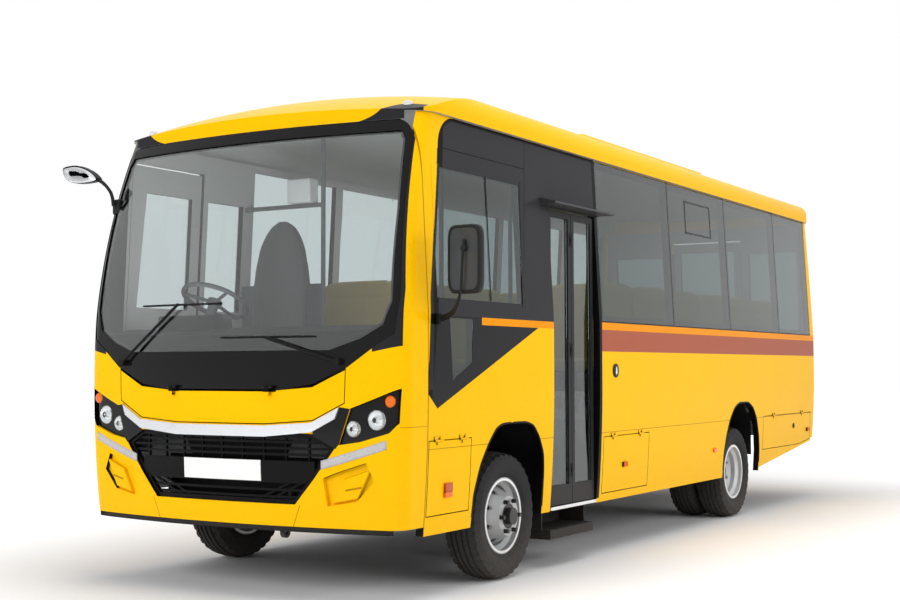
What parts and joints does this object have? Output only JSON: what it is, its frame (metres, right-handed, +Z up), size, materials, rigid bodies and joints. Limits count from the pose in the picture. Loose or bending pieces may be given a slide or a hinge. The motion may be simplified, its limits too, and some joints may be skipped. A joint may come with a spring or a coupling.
{
  "type": "school bus",
  "caption": "Yellow mid-size school bus: forward control, folding entrance door amidships, twin rear wheels, seats for a kindergarten.",
  "frame": {"origin": "on the ground under the middle of the bounding box", "axes": "+X to the entrance (left) side, -Y to the nose, +Z up"},
  "size_m": [3.05, 8.1, 3.17],
  "materials": {
    "body_paint": "gloss",
    "black_gloss": "gloss",
    "black_plastic": "matte",
    "screen_glass": "clear",
    "tinted_glass": "tinted",
    "bright_trim": "polished",
    "wheel_silver": "satin",
    "tyre_rubber": "matte",
    "chassis_paint": "satin",
    "cast_parts": "rough",
    "alloy": "satin",
    "bench_cloth": "woven",
    "driver_cloth": "woven",
    "cab_plastic": "matte",
    "deck": "matte",
    "rail_paint": "gloss",
    "lens": "clear",
    "box_white": "gloss"
  },
  "bodies": {
    "coach": {"chassis_frame": "chassis_paint", "leaf_springs": "chassis_paint", "front_axle_beam": "cast_parts", "rear_axle": "cast_parts", "engine_block": "cast_parts", "propeller_shaft": "chassis_paint", "exhaust": "cast_parts", "fuel_tank": "chassis_paint", "wheel_housings": "chassis_paint", "floor": "deck", "entrance_steps": "alloy", "left_side_wall": "body_paint", "right_side_wall": "body_paint", "roof": "body_paint", "front_cap": "body_paint", "roof_pod": "body_paint", "front_fascia": "body_paint", "windscreen_surround": "black_gloss", "windscreen": "screen_glass", "grille": "black_plastic", "chrome_bar": "bright_trim", "headlamp_housings": "black_gloss", "lamp_lenses": "lens", "wipers": "black_plastic", "mirrors": "black_plastic", "rear_wall": "body_paint", "left_glazing": "tinted_glass", "right_glazing": "tinted_glass", "rear_glazing": "tinted_glass", "door_canopy": "black_plastic", "dashboard": "cab_plastic", "driver_seat": "driver_cloth", "bench_seats": "bench_cloth", "seat_frames": "chassis_paint", "grab_rails": "rail_paint", "first_aid_box": "box_white"},
    "emergency_door": {"emergency_door": "body_paint", "emergency_glass": "tinted_glass"},
    "steering_wheel": {"steering_wheel": "black_plastic"},
    "driver_door": {"driver_door": "body_paint", "driver_door_glass": "tinted_glass"},
    "door_rear_leaf": {"door_leaf_rear": "alloy", "door_glass_rear": "tinted_glass"},
    "door_front_leaf": {"door_leaf_front": "alloy", "door_glass_front": "tinted_glass"},
    "flap_front": {"flap_front": "body_paint"},
    "flap_middle": {"flap_middle": "body_paint"},
    "flap_rear": {"flap_rear": "body_paint"},
    "front_hatch": {"front_hatch": "body_paint"},
    "knuckle_left": {"knuckle_left": "cast_parts"},
    "knuckle_right": {"knuckle_right": "cast_parts"},
    "tie_rod": {"tie_rod": "cast_parts"},
    "wheel_front_left": {"wheel_front_left": "wheel_silver", "tyre_front_left": "tyre_rubber"},
    "wheel_front_right": {"wheel_front_right": "wheel_silver", "tyre_front_right": "tyre_rubber"},
    "wheels_rear_left": {"wheels_rear_left": "wheel_silver", "tyres_rear_left": "tyre_rubber"},
    "wheels_rear_right": {"wheels_rear_right": "wheel_silver", "tyres_rear_right": "tyre_rubber"}
  },
  "joints": [
    {"name": "steer_left", "type": "hinge", "parent": "coach", "child": "knuckle_left", "pos_m": [0.866, -2.64, 0.394], "axis": [0, 0, 1], "range_deg": [-35, 35]},
    {"name": "steer_right", "type": "hinge", "parent": "coach", "child": "knuckle_right", "pos_m": [-0.866, -2.64, 0.394], "axis": [0, 0, 1], "range_deg": [-35, 35]},
    {"name": "tie_rod_pivot", "type": "hinge", "parent": "knuckle_left", "child": "tie_rod", "pos_m": [0.866, -2.45, 0.273], "axis": [0, 0, 1], "range_deg": [-35, 35]},
    {"name": "steering_wheel_turn", "type": "hinge", "parent": "coach", "child": "steering_wheel", "pos_m": [-0.54, -3.44, 1.74], "axis": [0, 0.4695, 0.8829], "range_deg": [-560, 560]},
    {"name": "spin_front_left", "type": "hinge", "parent": "knuckle_left", "child": "wheel_front_left", "pos_m": [1.0125, -2.64, 0.394], "axis": [1, 0, 0], "continuous": true},
    {"name": "spin_front_right", "type": "hinge", "parent": "knuckle_right", "child": "wheel_front_right", "pos_m": [-1.0125, -2.64, 0.394], "axis": [1, 0, 0], "continuous": true},
    {"name": "spin_rear_left", "type": "hinge", "parent": "coach", "child": "wheels_rear_left", "pos_m": [0.88, 1.56, 0.394], "axis": [1, 0, 0], "continuous": true},
    {"name": "spin_rear_right", "type": "hinge", "parent": "coach", "child": "wheels_rear_right", "pos_m": [-0.88, 1.56, 0.394], "axis": [1, 0, 0], "continuous": true},
    {"name": "passenger_door", "type": "hinge", "parent": "coach", "child": "door_rear_leaf", "pos_m": [1.124, -1.405, 1.4], "axis": [0, 0, -1], "range_deg": [0, 85]},
    {"name": "passenger_door_fold", "type": "hinge", "parent": "door_rear_leaf", "child": "door_front_leaf", "pos_m": [1.14, -1.729, 1.43], "axis": [0, 0, -1], "range_deg": [-170, 0]},
    {"name": "driver_door_hinge", "type": "hinge", "parent": "coach", "child": "driver_door", "pos_m": [-1.2035, -3.612, 1.1], "axis": [0, 0, 1], "range_deg": [0, 75]},
    {"name": "emergency_door_hinge", "type": "hinge", "parent": "coach", "child": "emergency_door", "pos_m": [-0.377, 4.00229, 1.8], "axis": [0, 0, 1], "range_deg": [0, 80]},
    {"name": "front_hatch_hinge", "type": "hinge", "parent": "coach", "child": "front_hatch", "pos_m": [0, -4.041, 1.206], "axis": [-1, 0, 0], "range_deg": [0, 60]},
    {"name": "flap_front_hinge", "type": "hinge", "parent": "coach", "child": "flap_front", "pos_m": [1.18751, -3.3925, 0.901], "axis": [0, -1, 0], "range_deg": [0, 90]},
    {"name": "flap_middle_hinge", "type": "hinge", "parent": "coach", "child": "flap_middle", "pos_m": [1.18464, -0.8925, 0.825], "axis": [0, -1, 0], "range_deg": [0, 90]},
    {"name": "flap_rear_hinge", "type": "hinge", "parent": "coach", "child": "flap_rear", "pos_m": [1.18607, 2.92, 0.861], "axis": [0, -1, 0], "range_deg": [0, 90]}
  ],
  "couplings": [
    {"joint": "steer_right", "follows": "steer_left", "ratio": 1},
    {"joint": "tie_rod_pivot", "follows": "steer_left", "ratio": -1},
    {"joint": "steering_wheel_turn", "follows": "steer_left", "ratio": 16},
    {"joint": "passenger_door_fold", "follows": "passenger_door", "ratio": -2}
  ]
}
